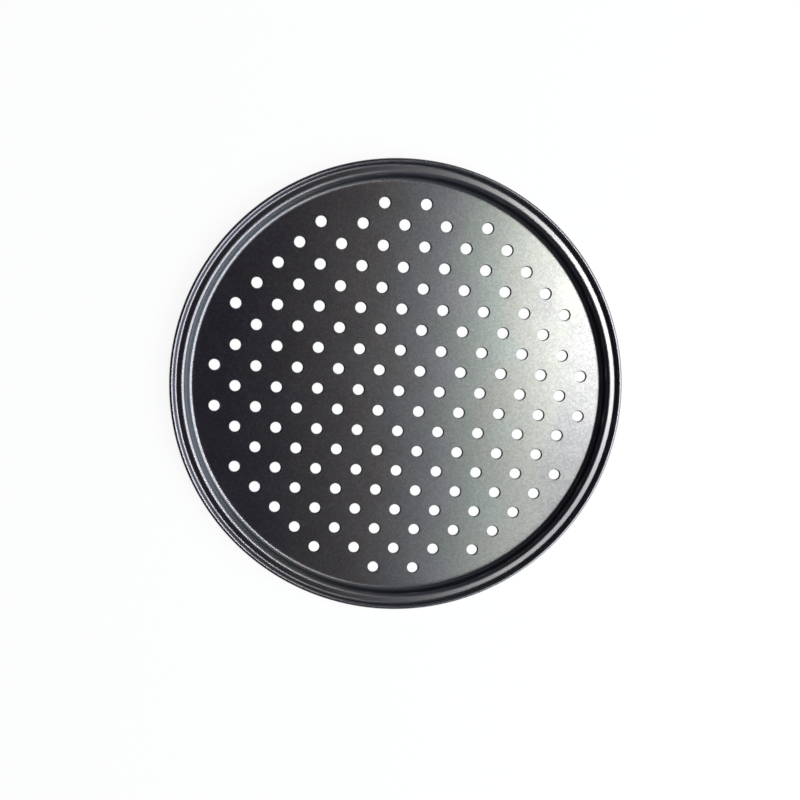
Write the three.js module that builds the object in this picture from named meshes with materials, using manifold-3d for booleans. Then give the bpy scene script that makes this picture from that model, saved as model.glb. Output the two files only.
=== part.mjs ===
// Perforated pizza pan: one pressed steel sheet with a punched floor, a stepped rim
// and an edge that is rolled round a wire. Millimetres, +Z up; the origin is at the
// centre of the floor's underside.
import * as THREE from "three";
import { mergeGeometries, mergeVertices } from "three/addons/utils/BufferGeometryUtils.js";
import Module from "manifold-3d";

// Driving dimensions of the pressing.
const SHEET = 0.6; // thickness of the steel
const FLOOR_DIAMETER = 292.6; // flat part of the floor
const FLOOR_FILLET = 3; // inside radius where the floor turns up into the wall
const WALL_SLOPE = 80; // of the wall, in degrees from the floor
const LEDGE_HEIGHT = 8.6; // from the underside of the floor to the top of the ledge
const LEDGE_BEND = 2.3; // radius under the bend where the wall turns out into the ledge
const LEDGE_WIDTH = 2.5; // flat part of the ledge
const UPSTAND_FILLET = 1.6; // inside radius where the ledge turns up again
const UPSTAND_HEIGHT = 0.3; // straight part between that fillet and the rolled edge

// Driving dimensions of the rolled edge and its wire.
const BEAD_DIAMETER = 3.2; // over the rolled edge
const BEAD_END_GAP = 0.4; // between the end of the roll and the back of the upstand
const WIRE_CLEARANCE = 0.3; // all round the wire, inside the roll
const WIRE_BUTT_GAP = 1; // between the two ends of the wire

// Driving dimensions of the holes: rows cross the floor, each shifted by half a pitch.
const HOLE_DIAMETER = 7.6;
const HOLE_PITCH = 29.3; // along a row, and twice the distance between rows
const HOLE_EDGE_DISTANCE = 10; // least distance from a hole's centre to the floor's edge

// How finely round shapes are divided.
const TURN_STEPS = 72; // once round the pan
const BEND_STEPS = 3; // in each bend of the sheet
const BEAD_STEPS = 9; // round the rolled edge
const HOLE_SIDES = 10;
const WIRE_SIDES = 8;

// The wire and the sheet's profile are worked out from the sizes above.
const DEGREE = Math.PI / 180;
const QUARTER = Math.PI / 2;
const HALF_TURN = Math.PI;
const FULL_TURN = 2 * Math.PI;

const floorRadius = FLOOR_DIAMETER / 2;
const beadRadius = BEAD_DIAMETER / 2;
const wireRadius = beadRadius - SHEET - WIRE_CLEARANCE;
const slope = WALL_SLOPE * DEGREE;

const coating = new THREE.MeshStandardMaterial({ color: 0x2b2b2f, roughness: 0.42, metalness: 0.35 });
const steel = new THREE.MeshStandardMaterial({ color: 0x9a9da0, roughness: 0.4, metalness: 1 });

// A point on a circle in the profile plane, where x is the radius and y the height.
function onCircle(centre, radius, angle) {
  return new THREE.Vector2(centre.x + radius * Math.cos(angle), centre.y + radius * Math.sin(angle));
}

// The bends of the sheet from the floor outwards. Each has a centre, the angles it runs
// through, and its radius on the upper and on the lower face of the sheet.
function sheetBends() {
  const floorBend = {
    centre: new THREE.Vector2(floorRadius, SHEET + FLOOR_FILLET),
    from: -QUARTER,
    to: slope - QUARTER,
    upper: FLOOR_FILLET,
    lower: FLOOR_FILLET + SHEET,
    steps: BEND_STEPS,
  };
  const wallFoot = onCircle(floorBend.centre, floorBend.upper, floorBend.to);
  const ledgeUpper = LEDGE_BEND + SHEET;
  const ledgeCentreHeight = LEDGE_HEIGHT - ledgeUpper;
  const wallTopHeight = ledgeCentreHeight + ledgeUpper * Math.cos(slope);
  const wallTopRadius = wallFoot.x + (wallTopHeight - wallFoot.y) / Math.tan(slope);
  const ledgeBend = {
    centre: new THREE.Vector2(wallTopRadius + ledgeUpper * Math.sin(slope), ledgeCentreHeight),
    from: QUARTER + slope,
    to: QUARTER,
    upper: ledgeUpper,
    lower: LEDGE_BEND,
    steps: BEND_STEPS,
  };
  const upstandBend = {
    centre: new THREE.Vector2(ledgeBend.centre.x + LEDGE_WIDTH, LEDGE_HEIGHT + UPSTAND_FILLET),
    from: -QUARTER,
    to: 0,
    upper: UPSTAND_FILLET,
    lower: UPSTAND_FILLET + SHEET,
    steps: BEND_STEPS,
  };
  const beadCentre = new THREE.Vector2(
    upstandBend.centre.x + UPSTAND_FILLET + beadRadius,
    upstandBend.centre.y + UPSTAND_HEIGHT,
  );
  const bead = {
    centre: beadCentre,
    from: HALF_TURN,
    to: beadEndAngle(beadCentre, upstandBend),
    upper: beadRadius,
    lower: beadRadius - SHEET,
    steps: BEAD_STEPS,
  };
  return [floorBend, ledgeBend, upstandBend, bead];
}

// Where the roll stops: its outer face has come round to within the end gap of the
// back of the upstand's bend, which is where two circles cross below the bead.
function beadEndAngle(beadCentre, upstandBend) {
  const toBend = upstandBend.centre.clone().sub(beadCentre);
  const apart = toBend.length();
  const keepOut = upstandBend.lower + BEAD_END_GAP;
  const along = (apart ** 2 + beadRadius ** 2 - keepOut ** 2) / (2 * apart);
  const towardsBend = Math.atan2(toBend.y, toBend.x);
  return towardsBend + Math.acos(along / beadRadius);
}

// The points of one face of a bend.
function bendPoints(bend, radius) {
  const points = [];
  for (let step = 0; step <= bend.steps; step += 1) {
    const angle = THREE.MathUtils.lerp(bend.from, bend.to, step / bend.steps);
    points.push(onCircle(bend.centre, radius, angle));
  }
  return points;
}

// The pressing before it is punched: the sheet's profile turned about the pan's axis.
function pressedBlank(bends) {
  const lowerFace = bends.flatMap((bend) => bendPoints(bend, bend.lower));
  const upperFace = bends.flatMap((bend) => bendPoints(bend, bend.upper));
  const profile = [
    new THREE.Vector2(0, 0),
    ...lowerFace,
    ...upperFace.reverse(),
    new THREE.Vector2(0, SHEET),
  ];
  return new THREE.LatheGeometry(profile, TURN_STEPS).rotateX(QUARTER);
}

// The centres of the holes: every other crossing of a square grid of half a pitch.
function holeCentres() {
  const half = HOLE_PITCH / 2;
  const reach = floorRadius - HOLE_EDGE_DISTANCE;
  const last = Math.floor(reach / half);
  const centres = [];
  for (let row = -last; row <= last; row += 1) {
    for (let column = -last; column <= last; column += 1) {
      const centre = new THREE.Vector2(column * half, row * half);
      const onPattern = (row + column) % 2 === 0;
      if (onPattern && centre.length() <= reach) {
        centres.push(centre);
      }
    }
  }
  return centres;
}

// One punch for each hole, reaching a sheet's thickness past both faces of the floor.
function holePunches() {
  const length = 3 * SHEET;
  const punches = holeCentres().map((centre) => {
    const punch = new THREE.CylinderGeometry(HOLE_DIAMETER / 2, HOLE_DIAMETER / 2, length, HOLE_SIDES);
    punch.rotateX(QUARTER);
    return punch.translate(centre.x, centre.y, SHEET / 2);
  });
  return mergeGeometries(punches);
}

const wasm = await Module();
wasm.setup();

// A closed geometry as a solid that can be cut.
function solidOf(geometry) {
  const bare = geometry.clone();
  bare.deleteAttribute("normal");
  bare.deleteAttribute("uv");
  const merged = mergeVertices(bare);
  return new wasm.Manifold(
    new wasm.Mesh({
      numProp: 3,
      vertProperties: new Float32Array(merged.attributes.position.array),
      triVerts: new Uint32Array(merged.index.array),
    }),
  );
}

// A cut solid as a geometry again.
function geometryOf(solid) {
  const { vertProperties, triVerts } = solid.getMesh();
  const geometry = new THREE.BufferGeometry();
  geometry.setAttribute("position", new THREE.BufferAttribute(vertProperties, 3));
  geometry.setIndex(new THREE.BufferAttribute(triVerts, 1));
  geometry.computeVertexNormals();
  return geometry;
}

// The wire in the rolled edge: a ring that is open where its ends meet.
class WireRing extends THREE.Curve {
  constructor(radius, height, gap) {
    super();
    this.radius = radius;
    this.height = height;
    this.halfGap = gap / radius / 2;
  }

  getPoint(share, target = new THREE.Vector3()) {
    const angle = THREE.MathUtils.lerp(this.halfGap, FULL_TURN - this.halfGap, share);
    return target.set(this.radius * Math.cos(angle), this.radius * Math.sin(angle), this.height);
  }
}

function rimWire(beadCentre) {
  const section = new THREE.Shape();
  for (let side = 0; side < WIRE_SIDES; side += 1) {
    const angle = (side / WIRE_SIDES) * FULL_TURN;
    const corner = new THREE.Vector2(wireRadius * Math.cos(angle), wireRadius * Math.sin(angle));
    if (side === 0) {
      section.moveTo(corner.x, corner.y);
    } else {
      section.lineTo(corner.x, corner.y);
    }
  }
  section.closePath();
  const extrudePath = new WireRing(beadCentre.x, beadCentre.y, WIRE_BUTT_GAP);
  return new THREE.ExtrudeGeometry(section, { steps: TURN_STEPS, extrudePath });
}

function namedMesh(name, geometry, material) {
  const mesh = new THREE.Mesh(geometry, material);
  mesh.name = name;
  return mesh;
}

const bends = sheetBends();
const beadCentre = bends.at(-1).centre;
const punched = solidOf(pressedBlank(bends)).subtract(solidOf(holePunches()));

const pan = new THREE.Group();
pan.add(namedMesh("perforated_pan", geometryOf(punched), coating));
pan.add(namedMesh("rim_wire", rimWire(beadCentre), steel));

export default pan;
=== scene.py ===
"""A perforated non-stick pizza pan, seen from above on white studio paper.

The pan is one pressed sheet of steel with punched holes, a stepped rim and an edge
that is rolled round a wire. Both pieces are built here as fine meshes, in metres, in
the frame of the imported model, whose nodes they replace.
"""

from __future__ import annotations

import logging
import math
from dataclasses import dataclass
from enum import Enum
from typing import Any, Mapping, Sequence

import bmesh
import bpy
from mathutils import Matrix, Vector
from mathutils.geometry import delaunay_2d_cdt


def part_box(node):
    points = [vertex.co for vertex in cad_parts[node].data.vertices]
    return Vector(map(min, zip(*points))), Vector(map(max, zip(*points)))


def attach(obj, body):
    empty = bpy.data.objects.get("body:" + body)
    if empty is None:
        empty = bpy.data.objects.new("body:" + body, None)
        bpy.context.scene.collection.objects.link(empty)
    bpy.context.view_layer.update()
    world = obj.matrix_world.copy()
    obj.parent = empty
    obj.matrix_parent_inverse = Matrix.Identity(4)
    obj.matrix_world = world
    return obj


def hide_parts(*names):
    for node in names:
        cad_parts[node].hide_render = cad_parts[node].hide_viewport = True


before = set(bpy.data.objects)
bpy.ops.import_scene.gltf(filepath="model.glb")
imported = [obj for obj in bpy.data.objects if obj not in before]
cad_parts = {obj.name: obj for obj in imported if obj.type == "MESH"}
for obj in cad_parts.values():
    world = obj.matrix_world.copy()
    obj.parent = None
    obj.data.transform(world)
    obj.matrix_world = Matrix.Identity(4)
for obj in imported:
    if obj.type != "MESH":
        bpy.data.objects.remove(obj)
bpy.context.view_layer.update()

LOG = logging.getLogger("pizza_pan")
BODY = "root"
PAN_NODE = "perforated_pan"
WIRE_NODE = "rim_wire"

MM = 0.001
DEGREE = math.pi / 180
QUARTER = math.pi / 2
HALF_TURN = math.pi
FULL_TURN = 2 * math.pi

Span = tuple[float, float]
Point = tuple[float, float, float]
Colour = tuple[float, float, float]

WHITE: Colour = (1.0, 1.0, 1.0)
WARM_WHITE: Colour = (0.985, 1.0, 0.94)
COOL_WHITE: Colour = (0.92, 1.0, 1.08)
NOISE_MEAN = 0.5


class Face(Enum):
    """The two faces of the sheet."""

    UPPER = "upper"
    LOWER = "lower"


class Maths(Enum):
    """The sums that two shader values can go through."""

    ADD = "ADD"
    SUBTRACT = "SUBTRACT"
    MULTIPLY = "MULTIPLY"
    LARGER = "MAXIMUM"


class Signal:
    """A shader value that Python expressions can be written with."""

    def __init__(self, graph: Graph, socket: bpy.types.NodeSocket) -> None:
        """Keeps the output socket that the value comes from."""
        self.graph = graph
        self.socket = socket

    def __add__(self, other: Signal | float) -> Signal:
        """The sum of two values."""
        return self.graph.sum(Maths.ADD, self, other)

    def __radd__(self, other: float) -> Signal:
        """The sum of a number and this value."""
        return self.graph.sum(Maths.ADD, other, self)

    def __sub__(self, other: Signal | float) -> Signal:
        """This value less another."""
        return self.graph.sum(Maths.SUBTRACT, self, other)

    def __rsub__(self, other: float) -> Signal:
        """A number less this value."""
        return self.graph.sum(Maths.SUBTRACT, other, self)

    def __mul__(self, other: Signal | float) -> Signal:
        """The product of two values."""
        return self.graph.sum(Maths.MULTIPLY, self, other)

    def __rmul__(self, other: float) -> Signal:
        """The product of a number and this value."""
        return self.graph.sum(Maths.MULTIPLY, other, self)

    def larger(self, other: Signal | float) -> Signal:
        """The larger of two values."""
        return self.graph.sum(Maths.LARGER, self, other)


class Graph:
    """The node tree of one finish, or of the room."""

    def __init__(self, tree: bpy.types.NodeTree) -> None:
        """Empties the tree of a material or of the world."""
        self.tree = tree
        tree.nodes.clear()

    def node(
        self,
        kind: str,
        settings: Mapping[str, Any] | None = None,
        sockets: Mapping[str | int, Any] | None = None,
    ) -> bpy.types.Node:
        """Makes any node: its settings are set first, and then its sockets.

        Args:
            kind: The node's type.
            settings: Properties of the node, such as a Math node's operation.
            sockets: Numbers, colours or signals by socket name or number.

        Returns:
            The new node.
        """
        made = self.tree.nodes.new(kind)
        for key, value in (settings or {}).items():
            setattr(made, key, value)
        for key, value in (sockets or {}).items():
            self._feed(self._pick(made.inputs, key), value)
        return made

    def out(self, made: bpy.types.Node, key: str | int = 0) -> Signal:
        """One output of a node as a signal."""
        return Signal(self, self._pick(made.outputs, key))

    def sum(self, operation: Maths, first: Signal | float, second: Signal | float) -> Signal:
        """One Math node.

        Args:
            operation: What is done with the two values.
            first: A number or a signal.
            second: A number or a signal.

        Returns:
            The result.
        """
        settings = {"operation": operation.value}
        return self.out(self.node("ShaderNodeMath", settings, {0: first, 1: second}))

    def blend(
        self, share: Signal | float, first: Signal | Colour, second: Signal | Colour
    ) -> Signal:
        """Two colours mixed.

        Args:
            share: How much of the second colour shows.
            first: A colour or a signal.
            second: A colour or a signal.

        Returns:
            The mixed colour.
        """
        sockets = {"Factor": share, "A": first, "B": second}
        return self.out(self.node("ShaderNodeMix", {"data_type": "RGBA"}, sockets), "Result")

    def place(self) -> Signal:
        """Where on the piece a point is, in metres."""
        return self.out(self.node("ShaderNodeTexCoord"), "Object")

    def parts(self, vector: Signal) -> tuple[Signal, Signal, Signal]:
        """The x, y and z of a vector."""
        split = self.node("ShaderNodeSeparateXYZ", sockets={0: vector})
        return self.out(split, "X"), self.out(split, "Y"), self.out(split, "Z")

    def noise(self, place: Signal, grain: float, layers: float = 2.0) -> Signal:
        """Cloudy noise between nought and one.

        Args:
            place: Where on the piece.
            grain: The size of a cloud, in metres.
            layers: How many finer layers it has.

        Returns:
            The noise.
        """
        sockets = {"Vector": place, "Scale": 1 / grain, "Detail": layers}
        return self.out(self.node("ShaderNodeTexNoise", sockets=sockets))

    def step(self, value: Signal, low: float, high: float) -> Signal:
        """A smooth step.

        Args:
            value: The value that is stepped.
            low: Up to here the step is nought.
            high: From here on it is one.

        Returns:
            The step.
        """
        sockets = {"Value": value, "From Min": low, "From Max": high}
        made = self.node("ShaderNodeMapRange", {"interpolation_type": "SMOOTHSTEP"}, sockets)
        return self.out(made, "Result")

    def surface(self, shader: bpy.types.Node) -> None:
        """Sends a shader to the material's output."""
        self.node("ShaderNodeOutputMaterial", sockets={"Surface": self.out(shader)})

    def _feed(self, socket: bpy.types.NodeSocket, value: Any) -> None:
        """Links a signal to a socket, or sets the socket's own value.

        Args:
            socket: The input socket of a node.
            value: A signal, a number or a colour.
        """
        if isinstance(value, Signal):
            self.tree.links.new(value.socket, socket)
        elif socket.type == "RGBA":
            socket.default_value = (*value, 1.0)
        else:
            socket.default_value = value

    @staticmethod
    def _pick(sockets: Sequence[bpy.types.NodeSocket], key: str | int) -> bpy.types.NodeSocket:
        """Finds a socket of a node.

        Args:
            sockets: The node's inputs or outputs.
            key: The number of the socket, or its name.

        Returns:
            The socket with that number, or the one in use with that name.
        """
        if isinstance(key, int):
            return sockets[key]
        return next(socket for socket in sockets if socket.enabled and socket.name == key)


def new_material(name: str) -> tuple[bpy.types.Material, Graph]:
    """An empty material.

    Args:
        name: What the finish is called.

    Returns:
        The material and the graph of its nodes.
    """
    material = bpy.data.materials.new(name)
    material.use_nodes = True
    return material, Graph(material.node_tree)


@dataclass(frozen=True)
class PaintedReflectionTint:
    """A painted reflection tint that the floor takes on between two distances to the right of the
    axis.
    """

    start: float
    end: float
    colour: Colour


@dataclass(frozen=True)
class NonStickCoating:
    """Satin charcoal coating with a fine fleck, baked on to the whole pressing.

    On the floor its colour is painted with the tints of the light that it mirrors: violet in the
    shade on the left, then brown, blue, green and cream under the highlight on the right, and a
    darker lavender that dims the highlight at the far right edge. On the rim it is smoother, and
    the lower wall on the left, which faces the lamps, is given a painted teal reflection.
    """

    name: str = "non_stick_coating"
    metallic: float = 1.0
    roughness: float = 0.29

    # Painted reflection tints: the charcoal below and the tints after it stand in for the colour
    # of the light that the floor mirrors, violet in the shade on the left and cream under the
    # highlight on the right; the last, darker tint dims the highlight at the far right edge.
    charcoal_and_painted_violet_shade: Colour = (0.180, 0.165, 0.188)
    painted_reflection_tints: tuple[PaintedReflectionTint, ...] = (
        PaintedReflectionTint(-105 * MM, -65 * MM, (0.190, 0.173, 0.173)),
        PaintedReflectionTint(-35 * MM, 15 * MM, (0.168, 0.174, 0.191)),
        PaintedReflectionTint(20 * MM, 50 * MM, (0.166, 0.187, 0.178)),
        PaintedReflectionTint(60 * MM, 90 * MM, (0.171, 0.175, 0.165)),
        PaintedReflectionTint(100 * MM, 140 * MM, (0.154, 0.151, 0.159)),
    )
    painted_tint_grain: float = 45 * MM
    painted_tint_wander: float = 130 * MM

    rim_cast: Colour = (0.194, 0.188, 0.200)
    rim_fade: Span = (0.7 * MM, 2 * MM)
    rim_cast_share: float = 0.8
    rim_smoothing: float = 0.7
    # Painted reflection: the teal and the two fades after it colour the lower wall on the left,
    # which faces the lamps.
    painted_reflection_teal: Colour = (0.188, 0.224, 0.205)
    painted_reflection_side_fade: Span = (-110 * MM, 60 * MM)
    painted_reflection_top_fade: Span = (5 * MM, 8 * MM)

    fleck: Colour = (0.30, 0.30, 0.31)
    fleck_grain: float = 1.1 * MM
    fleck_chance: Span = (0.55, 0.75)
    fleck_edge: Span = (0.25, 0.55)
    fleck_share: float = 0.25
    fleck_roughening: float = 0.03
    sand_grain: float = 1.5 * MM
    sand_fade: Span = (0.35, 0.65)
    sand_share: float = 0.3

    haze_grain: float = 30 * MM
    haze_layers: float = 4.0
    haze_roughening: float = 0.05
    peel_grain: float = 1.6 * MM
    peel_layers: float = 3.0
    peel_depth: float = 0.012 * MM

    handled_height: float = 2 * MM
    patch_grain: float = 9 * MM
    patch_layers: float = 3.0
    patch_fade: Span = (0.4, 0.7)
    least_polish: float = 0.4
    polish_share: float = 0.1
    polish_smoothing: float = 0.04

    def material(self, handled_from: float) -> bpy.types.Material:
        """The coating as a material.

        Args:
            handled_from: The height above which the rolled edge is polished by handling.

        Returns:
            The material.
        """
        material, graph = new_material(self.name)
        place = graph.place()
        across, _, height = graph.parts(place)
        rim = graph.step(height, *self.rim_fade)
        # The floor's colour carries painted reflection tints that follow the light from left to
        # right.
        floor_charcoal_and_painted_tints = self._floor_charcoal_and_painted_tints(graph, place, across)
        # The rim's colour carries a painted teal reflection on the lower wall at the left.
        rim_cast = self._rim_cast_and_painted_reflection(graph, across, height)
        cast = graph.blend(rim * self.rim_cast_share, floor_charcoal_and_painted_tints, rim_cast)
        grain = 1 - rim * self.rim_smoothing
        flecks = self._flecks(graph, place) * grain
        sand = graph.step(graph.noise(place, self.sand_grain), *self.sand_fade) * grain
        polish = self._polish(graph, place, height, handled_from)
        haze = graph.noise(place, self.haze_grain, self.haze_layers) - NOISE_MEAN
        pale = flecks * self.fleck_share + sand * self.sand_share + polish * self.polish_share
        rough = self.roughness + haze * self.haze_roughening + flecks * self.fleck_roughening
        sockets = {
            "Base Color": graph.blend(pale, cast, self.fleck),
            "Metallic": self.metallic,
            "Roughness": rough - polish * self.polish_smoothing,
            "Normal": self._peel(graph, place, grain),
        }
        graph.surface(graph.node("ShaderNodeBsdfPrincipled", sockets=sockets))
        return material

    def _floor_charcoal_and_painted_tints(self, graph: Graph, place: Signal, across: Signal) -> Signal:
        """The floor's charcoal with its painted reflection tints, which follow the light across
        the pan.

        Args:
            graph: The coating's graph.
            place: The point, in metres.
            across: How far to the right of the axis the point is.

        Returns:
            The colour.
        """
        # Painted reflection tints: the hue changes from left to right with the light, and noise
        # makes the borders wander.
        wander = (graph.noise(place, self.painted_tint_grain) - NOISE_MEAN) * self.painted_tint_wander
        drifted = across + wander
        cast: Signal | Colour = self.charcoal_and_painted_violet_shade
        for tint in self.painted_reflection_tints:
            cast = graph.blend(graph.step(drifted, tint.start, tint.end), cast, tint.colour)
        return cast

    def _rim_cast_and_painted_reflection(self, graph: Graph, across: Signal, height: Signal) -> Signal:
        """The rim's charcoal, with a painted teal reflection on the lower wall at the left, which
        faces the lamps.

        Args:
            graph: The coating's graph.
            across: How far to the right of the axis the point is.
            height: The height of the point.

        Returns:
            The colour.
        """
        # Painted reflection: teal on the lower wall at the left, which faces the lamps.
        left = 1 - graph.step(across, *self.painted_reflection_side_fade)
        wall = 1 - graph.step(height, *self.painted_reflection_top_fade)
        return graph.blend(left * wall, self.rim_cast, self.painted_reflection_teal)

    def _flecks(self, graph: Graph, place: Signal) -> Signal:
        """Sparse pale grains in the coating.

        Args:
            graph: The coating's graph.
            place: The point, in metres.

        Returns:
            One in the middle of a grain, and nought between the grains.
        """
        sockets = {"Vector": place, "Scale": 1 / self.fleck_grain}
        cells = graph.node("ShaderNodeTexVoronoi", sockets=sockets)
        chance = graph.node("ShaderNodeSeparateColor", sockets={0: graph.out(cells, "Color")})
        chosen = graph.step(graph.out(chance), *self.fleck_chance)
        return chosen * (1 - graph.step(graph.out(cells, "Distance"), *self.fleck_edge))

    def _polish(
        self, graph: Graph, place: Signal, height: Signal, handled_from: float
    ) -> Signal:
        """Where handling has polished the rolled edge.

        Args:
            graph: The coating's graph.
            place: The point, in metres.
            height: The height of the point.
            handled_from: The height above which the edge is handled.

        Returns:
            One where it is most polished.
        """
        crest = graph.step(height, handled_from, handled_from + self.handled_height)
        clouds = graph.noise(place, self.patch_grain, self.patch_layers)
        patches = graph.step(clouds, *self.patch_fade)
        return crest * (self.least_polish + (1 - self.least_polish) * patches)

    def _peel(self, graph: Graph, place: Signal, grain: Signal) -> Signal:
        """The faint orange peel of the sprayed coating.

        Args:
            graph: The coating's graph.
            place: The point, in metres.
            grain: How coarse the coating is there.

        Returns:
            The bumped normal.
        """
        height = graph.noise(place, self.peel_grain, self.peel_layers) * grain
        sockets = {"Distance": self.peel_depth, "Height": height}
        return graph.out(graph.node("ShaderNodeBump", sockets=sockets))


@dataclass(frozen=True)
class DrawnWire:
    """Bare steel wire, with the fine scratches of drawing and some dull stain."""

    name: str = "bare_wire"
    bright: Colour = (0.60, 0.61, 0.62)
    dull: Colour = (0.40, 0.40, 0.41)
    metallic: float = 1.0
    roughness: float = 0.30
    scratch_grain: float = 0.25 * MM
    scratch_share: float = 0.3
    scratch_roughening: float = 0.12
    stain_grain: float = 14 * MM
    stain_layers: float = 4.0
    stain_fade: Span = (0.35, 0.7)
    stain_share: float = 0.7
    stain_roughening: float = 0.08

    def material(self) -> bpy.types.Material:
        """The wire's finish as a material.

        Returns:
            The material.
        """
        material, graph = new_material(self.name)
        place = graph.place()
        scratches = graph.noise(place, self.scratch_grain)
        clouds = graph.noise(place, self.stain_grain, self.stain_layers)
        stain = graph.step(clouds, *self.stain_fade)
        dulled = stain * self.stain_share + scratches * self.scratch_share
        rough = self.roughness + scratches * self.scratch_roughening
        sockets = {
            "Base Color": graph.blend(dulled, self.bright, self.dull),
            "Metallic": self.metallic,
            "Roughness": rough + stain * self.stain_roughening,
        }
        graph.surface(graph.node("ShaderNodeBsdfPrincipled", sockets=sockets))
        return material


@dataclass(frozen=True)
class StudioPaper:
    """White paper that the pan lies on. It keeps the pan's shadow."""

    name: str = "studio_paper"
    paper: Colour = (0.90, 0.90, 0.90)
    roughness: float = 1.0
    gloss: float = 0.0
    fibre_grain: float = 3 * MM
    fibre_layers: float = 4.0
    fibre_fade: Span = (0.3, 0.7)
    fibre_share: float = 0.5
    whiteness: float = 0.9

    def material(self) -> bpy.types.Material:
        """The paper as a material, lifted towards white where it is seen or mirrored.

        Returns:
            The material.
        """
        material, graph = new_material(self.name)
        clouds = graph.noise(graph.place(), self.fibre_grain, self.fibre_layers)
        fibre = graph.step(clouds, *self.fibre_fade)
        matt = {
            "Base Color": graph.blend(fibre * self.fibre_share, self.paper, WHITE),
            "Roughness": self.roughness,
            "Specular IOR Level": self.gloss,
        }
        paper = graph.node("ShaderNodeBsdfPrincipled", sockets=matt)
        glow = graph.node("ShaderNodeEmission", sockets={"Color": WHITE})
        path = graph.node("ShaderNodeLightPath")
        mirrored = graph.out(path, "Is Glossy Ray").larger(graph.out(path, "Is Transmission Ray"))
        seen = graph.out(path, "Is Camera Ray").larger(mirrored)
        sockets = {0: seen * self.whiteness, 1: graph.out(paper), 2: graph.out(glow)}
        graph.surface(graph.node("ShaderNodeMixShader", sockets=sockets))
        return material


def onward(loop: Sequence[int]) -> list[int]:
    """The points of a closed loop, each one replaced by the next."""
    return [*loop[1:], loop[0]]


class MeshDraft:
    """Points and faces that are gathered before they become one piece."""

    WHOLE_AREA = 0
    SAME_POINT = 1e-9

    def __init__(self) -> None:
        """Starts with no points and no faces."""
        self.points: list[Point] = []
        self.faces: list[tuple[int, ...]] = []

    def loop(self, points: Sequence[Point]) -> list[int]:
        """Adds points.

        Args:
            points: The points, in order.

        Returns:
            Their numbers.
        """
        first = len(self.points)
        self.points.extend(points)
        return list(range(first, len(self.points)))

    def ring(self, centre: Vector, radius: float, height: float, steps: int) -> list[int]:
        """Adds a level circle of points.

        Args:
            centre: The middle of the circle, seen from above.
            radius: Its radius.
            height: Its height.
            steps: The number of points.

        Returns:
            The numbers of the points, in order.
        """
        angles = [FULL_TURN * step / steps for step in range(steps)]
        return self.loop([
            (centre.x + radius * math.cos(a), centre.y + radius * math.sin(a), height)
            for a in angles
        ])

    def bands(self, loops: Sequence[Sequence[int]]) -> None:
        """Joins each closed loop of points to the next with a band of faces."""
        for near, far in zip(loops, loops[1:]):
            self.faces.extend(zip(near, far, onward(far), onward(near)))

    def plate(self, edge: Sequence[int], openings: Sequence[Sequence[int]]) -> None:
        """Fills a flat plate from its edge to the rings of its round openings.

        A triangle whose corners are all on one opening lies in that opening and is left out.

        Args:
            edge: The ring round the plate.
            openings: The rings round the openings.
        """
        loops = [edge, *openings]
        numbers = [number for loop in loops for number in loop]
        slot_of = {number: slot for slot, number in enumerate(numbers)}
        opening_of = {number: index for index, loop in enumerate(openings) for number in loop}
        flat = [Vector(self.points[number][:2]) for number in numbers]
        borders = [
            (slot_of[first], slot_of[second])
            for loop in loops
            for first, second in zip(loop, onward(loop))
        ]
        _, _, triangles, sources, _, _ = delaunay_2d_cdt(
            flat, borders, [], self.WHOLE_AREA, self.SAME_POINT, True
        )
        for triangle in triangles:
            corners = tuple(numbers[sources[corner][0]] for corner in triangle)
            touched = {opening_of.get(corner) for corner in corners}
            if len(touched) > 1 or None in touched:
                self.faces.append(corners)

    def piece(self, name: str, sharp_from: float) -> bpy.types.Object:
        """Turns the draft into a smooth-shaded piece.

        Args:
            name: The piece's name.
            sharp_from: The angle between faces above which their edge stays sharp.

        Returns:
            The piece, in the scene.
        """
        mesh = bpy.data.meshes.new(name)
        mesh.from_pydata(self.points, [], self.faces)
        shape = bmesh.new()
        shape.from_mesh(mesh)
        bmesh.ops.recalc_face_normals(shape, faces=shape.faces)
        shape.to_mesh(mesh)
        shape.free()
        mesh.shade_smooth()
        mesh.set_sharp_from_angle(angle=sharp_from)
        piece = bpy.data.objects.new(name, mesh)
        bpy.context.scene.collection.objects.link(piece)
        return piece


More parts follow.
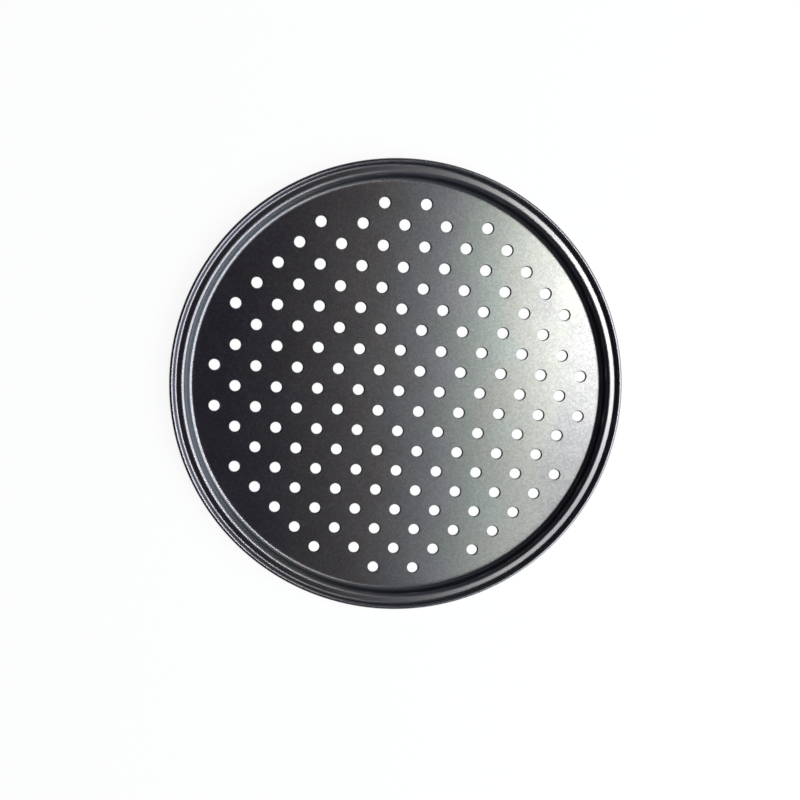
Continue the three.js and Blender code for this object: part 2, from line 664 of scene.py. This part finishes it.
@dataclass(frozen=True)
class HolePattern:
    """Where the floor is punched: every other crossing of a square grid.

    The pattern lies a little off the pan's axis. The punches stood a little off their dies
    as well, so each mouth is drawn further on one side.
    """

    offset: Span = (0.5 * MM, -0.1 * MM)
    pitch: float = 29.3 * MM
    reach: float = 136 * MM
    diameter: float = 7.7 * MM
    mouth_lean: Span = (0.42 * MM, 0.02 * MM)
    chamfer_width: float = 0.56 * MM
    chamfer_depth: float = 0.54 * MM
    burr: float = 0.03 * MM
    margin: float = 0.35 * MM
    sides: int = 32

    def centres(self) -> list[Vector]:
        """The centres of all the holes.

        Returns:
            Their places seen from above, row by row.
        """
        half_pitch = self.pitch / 2
        last = int(self.reach / half_pitch)
        places = range(-last, last + 1)
        crossings = [(column, row) for row in places for column in places]
        punched = [Vector(c) * half_pitch for c in crossings if sum(c) % 2 == 0]
        return [Vector(self.offset) + p for p in punched if p.length <= self.reach]

    def rings(self, draft: MeshDraft, centre: Vector, sheet: float) -> list[list[int]]:
        """Adds the circles of one hole, from the upper face of the floor to the lower.

        Args:
            draft: The draft that the points are added to.
            centre: The middle of the hole.
            sheet: The thickness of the floor.

        Returns:
            The numbers of the points of each circle; the first and last lie in the faces.
        """
        bore = self.diameter / 2
        mouth = bore + self.chamfer_width
        mouth_centre = centre + Vector(self.mouth_lean)
        circles = [
            (mouth_centre, mouth + self.margin, sheet),
            (mouth_centre, mouth, sheet),
            (centre, bore, sheet - self.chamfer_depth),
            (centre, bore, self.burr),
            (centre, bore + self.burr, 0.0),
            (centre, bore + self.burr + self.margin, 0.0),
        ]
        return [draft.ring(*circle, self.sides) for circle in circles]


@dataclass(frozen=True)
class Bend:
    """One bend of the sheet in the pan's section, where x is the radius and y the height."""

    centre: Vector
    start: float
    end: float
    upper: float
    lower: float
    steps: int

    def points(self, face: Face) -> list[Vector]:
        """The points of one face of the bend.

        Args:
            face: The upper or the lower face.

        Returns:
            The points, from the start of the bend to its end.
        """
        radius = self.upper if face is Face.UPPER else self.lower
        turn = (self.end - self.start) / self.steps
        angles = [self.start + turn * step for step in range(self.steps + 1)]
        return [self.centre + radius * Vector((math.cos(a), math.sin(a))) for a in angles]


@dataclass
class Pressing:
    """The pan itself: punched floor, sloping wall, ledge, upstand and rolled edge in one sheet."""

    name: str = "pan_pressing"
    sheet: float = 0.6 * MM
    floor_diameter: float = 292.6 * MM
    floor_fillet: float = 3.0 * MM
    wall_slope: float = 80 * DEGREE
    ledge_height: float = 8.6 * MM
    ledge_bend: float = 2.3 * MM
    ledge_width: float = 2.5 * MM
    upstand_fillet: float = 1.6 * MM
    upstand_height: float = 0.3 * MM
    roll_end_gap: float = 0.4 * MM
    side_margin: float = 0.02 * MM
    floor_margin: float = 0.6 * MM
    straight_ends: Span = (0.06, 0.94)
    turn_steps: int = 180
    bend_steps: int = 8
    roll_steps: int = 26
    sharp_from: float = 20 * DEGREE
    holes: HolePattern = HolePattern()

    def bends(self) -> list[Bend]:
        """The bends of the sheet, from the floor outwards.

        Returns:
            Floor bend, ledge bend, upstand bend and rolled edge.
        """
        slope = self.wall_slope
        floor_bend = Bend(
            centre=Vector((self.floor_diameter / 2, self.sheet + self.floor_fillet)),
            start=-QUARTER,
            end=slope - QUARTER,
            upper=self.floor_fillet,
            lower=self.floor_fillet + self.sheet,
            steps=self.bend_steps,
        )
        foot = floor_bend.points(Face.UPPER)[-1]
        ledge_upper = self.ledge_bend + self.sheet
        ledge_middle = self.ledge_height - ledge_upper
        climb = ledge_middle + ledge_upper * math.cos(slope) - foot.y
        ledge_start = foot.x + climb / math.tan(slope) + ledge_upper * math.sin(slope)
        ledge_bend = Bend(
            centre=Vector((ledge_start, ledge_middle)),
            start=QUARTER + slope,
            end=QUARTER,
            upper=ledge_upper,
            lower=self.ledge_bend,
            steps=self.bend_steps,
        )
        ledge_end = ledge_start + self.ledge_width
        upstand_bend = Bend(
            centre=Vector((ledge_end, self.ledge_height + self.upstand_fillet)),
            start=-QUARTER,
            end=0.0,
            upper=self.upstand_fillet,
            lower=self.upstand_fillet + self.sheet,
            steps=self.bend_steps,
        )
        return [floor_bend, ledge_bend, upstand_bend, self._roll(upstand_bend)]

    def _roll(self, upstand: Bend) -> Bend:
        """The rolled edge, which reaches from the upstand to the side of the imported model.

        Args:
            upstand: The bend below it.

        Returns:
            The roll. It stops short of the back of the upstand's bend.
        """
        inside = upstand.centre.x + upstand.upper
        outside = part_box(PAN_NODE)[1].x - self.side_margin
        radius = (outside - inside) / 2
        centre = Vector((inside + radius, upstand.centre.y + self.upstand_height))
        to_bend = upstand.centre - centre
        keep_out = upstand.lower + self.roll_end_gap
        along = (to_bend.length_squared + radius**2 - keep_out**2) / (2 * to_bend.length)
        return Bend(
            centre=centre,
            start=HALF_TURN,
            end=math.atan2(to_bend.y, to_bend.x) + math.acos(along / radius),
            upper=radius,
            lower=radius - self.sheet,
            steps=self.roll_steps,
        )

    def profile(self, face: Face) -> list[Vector]:
        """One face of the rim's section, from the flat floor to the end of the roll.

        Args:
            face: The upper or the lower face.

        Returns:
            Its points. Each straight has a point close to either end, to keep it flat.
        """
        floor_height = self.sheet if face is Face.UPPER else 0.0
        points = [Vector((self.floor_diameter / 2 - self.floor_margin, floor_height))]
        for number, bend in enumerate(self.bends()):
            arc = bend.points(face)
            if number > 0:
                points.extend(points[-1].lerp(arc[0], share) for share in self.straight_ends)
            points.extend(arc)
        return points

    def build(self) -> bpy.types.Object:
        """Builds the pressing as one closed sheet.

        Returns:
            The piece, without its finish.
        """
        draft = MeshDraft()
        axis = Vector((0, 0))
        rim = {
            face: [draft.ring(axis, p.x, p.y, self.turn_steps) for p in self.profile(face)]
            for face in Face
        }
        draft.bands([*rim[Face.UPPER], *reversed(rim[Face.LOWER])])
        bores = [self.holes.rings(draft, centre, self.sheet) for centre in self.holes.centres()]
        for rings in bores:
            draft.bands(rings)
        draft.plate(rim[Face.UPPER][0], [rings[0] for rings in bores])
        draft.plate(rim[Face.LOWER][0], [rings[-1] for rings in bores])
        return draft.piece(self.name, self.sharp_from)

    def dress(self, piece: bpy.types.Object, coating: NonStickCoating) -> None:
        """Coats the pressing and sets it in the place of its node.

        Args:
            piece: The built pressing.
            coating: The finish.
        """
        handled_from = self.ledge_height + self.upstand_fillet
        piece.data.materials.append(coating.material(handled_from))
        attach(piece, BODY)
        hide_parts(PAN_NODE)


@dataclass
class EdgeWire:
    """The wire in the rolled edge: a ring that is open where its two ends meet."""

    roll: Bend
    name: str = "edge_wire"
    clearance: float = 0.3 * MM
    butt_gap: float = 1 * MM
    end_chamfer: float = 0.15 * MM
    turn_steps: int = 180
    sides: int = 12
    sharp_from: float = 35 * DEGREE

    def _section(self, draft: MeshDraft, angle: float, radius: float) -> list[int]:
        """One circle of points across the wire.

        Args:
            draft: The draft that the points are added to.
            angle: How far round the pan.
            radius: The radius of the circle.

        Returns:
            The numbers of the points.
        """
        points = []
        for side in range(self.sides):
            turn = FULL_TURN * side / self.sides
            out = self.roll.centre.x + radius * math.cos(turn)
            height = self.roll.centre.y + radius * math.sin(turn)
            points.append((out * math.cos(angle), out * math.sin(angle), height))
        return draft.loop(points)

    def build(self) -> bpy.types.Object:
        """Builds the wire with chamfered ends.

        Returns:
            The piece, without its finish.
        """
        draft = MeshDraft()
        radius = self.roll.lower - self.clearance
        tip = radius - self.end_chamfer
        half_gap = self.butt_gap / 2 / self.roll.centre.x
        first = half_gap + self.end_chamfer / self.roll.centre.x
        swept = FULL_TURN - 2 * first
        steps = range(self.turn_steps + 1)
        loops = [
            self._section(draft, half_gap, tip),
            *(self._section(draft, first + swept * s / self.turn_steps, radius) for s in steps),
            self._section(draft, FULL_TURN - half_gap, tip),
        ]
        draft.bands(loops)
        draft.faces.extend([tuple(loops[0]), tuple(reversed(loops[-1]))])
        return draft.piece(self.name, self.sharp_from)

    def dress(self, piece: bpy.types.Object, finish: DrawnWire) -> None:
        """Gives the wire its finish and sets it in the place of its node.

        Args:
            piece: The built wire.
            finish: The finish.
        """
        piece.data.materials.append(finish.material())
        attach(piece, BODY)
        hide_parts(WIRE_NODE)


@dataclass(frozen=True)
class SoftLamp:
    """A flat studio lamp that faces the pan."""

    name: str
    azimuth: float
    elevation: float
    distance: float
    width: float
    height: float
    radiance: float
    colour: Colour

    def place(self) -> bpy.types.Object:
        """Hangs the lamp.

        Returns:
            The lamp, in the scene. The camera doesn't see it.
        """
        light = bpy.data.lights.new(self.name, "AREA")
        light.shape = "RECTANGLE"
        light.size, light.size_y = self.width, self.height
        light.energy = self.radiance * math.pi * self.width * self.height
        light.color = self.colour
        level = math.cos(self.elevation)
        towards = Vector((
            level * math.cos(self.azimuth),
            level * math.sin(self.azimuth),
            math.sin(self.elevation),
        ))
        lamp = bpy.data.objects.new(self.name, light)
        lamp.location = towards * self.distance
        lamp.rotation_mode = "QUATERNION"
        lamp.rotation_quaternion = towards.to_track_quat("Z", "Y")
        lamp.visible_camera = False
        bpy.context.scene.collection.objects.link(lamp)
        return lamp


@dataclass
class Studio:
    """The paper, the lamps, the dim room and the camera.

    The lens and the sensor are in millimetres, and the room's fades in shares of a direction.
    """

    paper_size: float = 6.0
    paper_drop: float = 0.3 * MM
    lamps: tuple[SoftLamp, ...] = (
        SoftLamp(
            "strip", azimuth=-5 * DEGREE, elevation=71.4 * DEGREE, distance=2.5,
            width=3.3, height=0.33, radiance=4.2, colour=WARM_WHITE,
        ),
        SoftLamp(
            "key", azimuth=10.5 * DEGREE, elevation=67.2 * DEGREE, distance=2.5,
            width=1.13, height=0.2, radiance=18.0, colour=WARM_WHITE,
        ),
        SoftLamp(
            "side_panel", azimuth=-15 * DEGREE, elevation=41 * DEGREE, distance=2.2,
            width=3.0, height=1.4, radiance=4.4, colour=COOL_WHITE,
        ),
    )
    walls: Colour = (0.42, 0.47, 0.57)
    unlit: Colour = (0.009, 0.005, 0.024)
    walls_fade: Span = (0.30, 0.85)
    dark_side_fade: Span = (-1.3, 1.4)
    camera_at: Point = (-21.6 * MM, 44.5 * MM, 467.3 * MM)
    camera_aim: Point = (1.5 * MM, -6.7 * MM, 0.6 * MM)
    camera_roll: float = 2.079 * DEGREE
    lens: float = 29.25
    sensor: float = 36.0

    def build(self) -> None:
        """Sets up the whole studio."""
        self._lay_paper()
        for lamp in self.lamps:
            lamp.place()
        self._set_room()
        self._set_camera()
        bpy.context.scene.view_settings.view_transform = "Standard"

    def _lay_paper(self) -> None:
        """Lays the paper just under the pan."""
        reach = self.paper_size / 2
        corners = [(-reach, -reach), (reach, -reach), (reach, reach), (-reach, reach)]
        draft = MeshDraft()
        draft.faces.append(tuple(draft.loop([(x, y, -self.paper_drop) for x, y in corners])))
        paper = draft.piece("studio_floor", HALF_TURN)
        paper.data.materials.append(StudioPaper().material())

    def _set_room(self) -> None:
        """Sets the room round the lamps: dim in the pan's gloss, and white to the camera."""
        world = bpy.data.worlds.new("room")
        world.use_nodes = True
        graph = Graph(world.node_tree)
        towards = graph.out(graph.node("ShaderNodeTexCoord"), "Generated")
        across, _, upwards = graph.parts(towards)
        lit = graph.step(across, *self.dark_side_fade)
        low = 1 - graph.step(upwards, *self.walls_fade)
        room = graph.blend(lit * low, self.unlit, self.walls)
        seen = graph.out(graph.node("ShaderNodeLightPath"), "Is Camera Ray")
        sockets = {"Color": graph.blend(seen, room, WHITE)}
        background = graph.node("ShaderNodeBackground", sockets=sockets)
        graph.node("ShaderNodeOutputWorld", sockets={"Surface": graph.out(background)})
        bpy.context.scene.world = world

    def _set_camera(self) -> None:
        """Puts the camera above the pan, a little to the left of and behind its middle."""
        lens = bpy.data.cameras.new("camera")
        lens.lens, lens.sensor_width = self.lens, self.sensor
        at, aim = Vector(self.camera_at), Vector(self.camera_aim)
        ahead = (aim - at).normalized()
        level = ahead.cross(Vector((0, 1, 0))).normalized()
        upright = level.cross(ahead)
        right = level * math.cos(self.camera_roll) + upright * math.sin(self.camera_roll)
        turned = Matrix((right, right.cross(ahead), -ahead)).transposed()
        camera = bpy.data.objects.new("camera", lens)
        camera.matrix_world = Matrix.Translation(at) @ turned.to_4x4()
        bpy.context.scene.collection.objects.link(camera)
        bpy.context.scene.camera = camera


def main() -> None:
    """Builds the studio and the two pieces of the pan."""
    logging.basicConfig(level=logging.INFO, format="%(name)s: %(message)s")
    Studio().build()
    pressing = Pressing()
    wire = EdgeWire(roll=pressing.bends()[-1])
    for assembly, finish in ((pressing, NonStickCoating()), (wire, DrawnWire())):
        piece = assembly.build()
        assembly.dress(piece, finish)
        LOG.info("%s: %d faces", piece.name, len(piece.data.polygons))


if __name__ == "__main__":
    main()
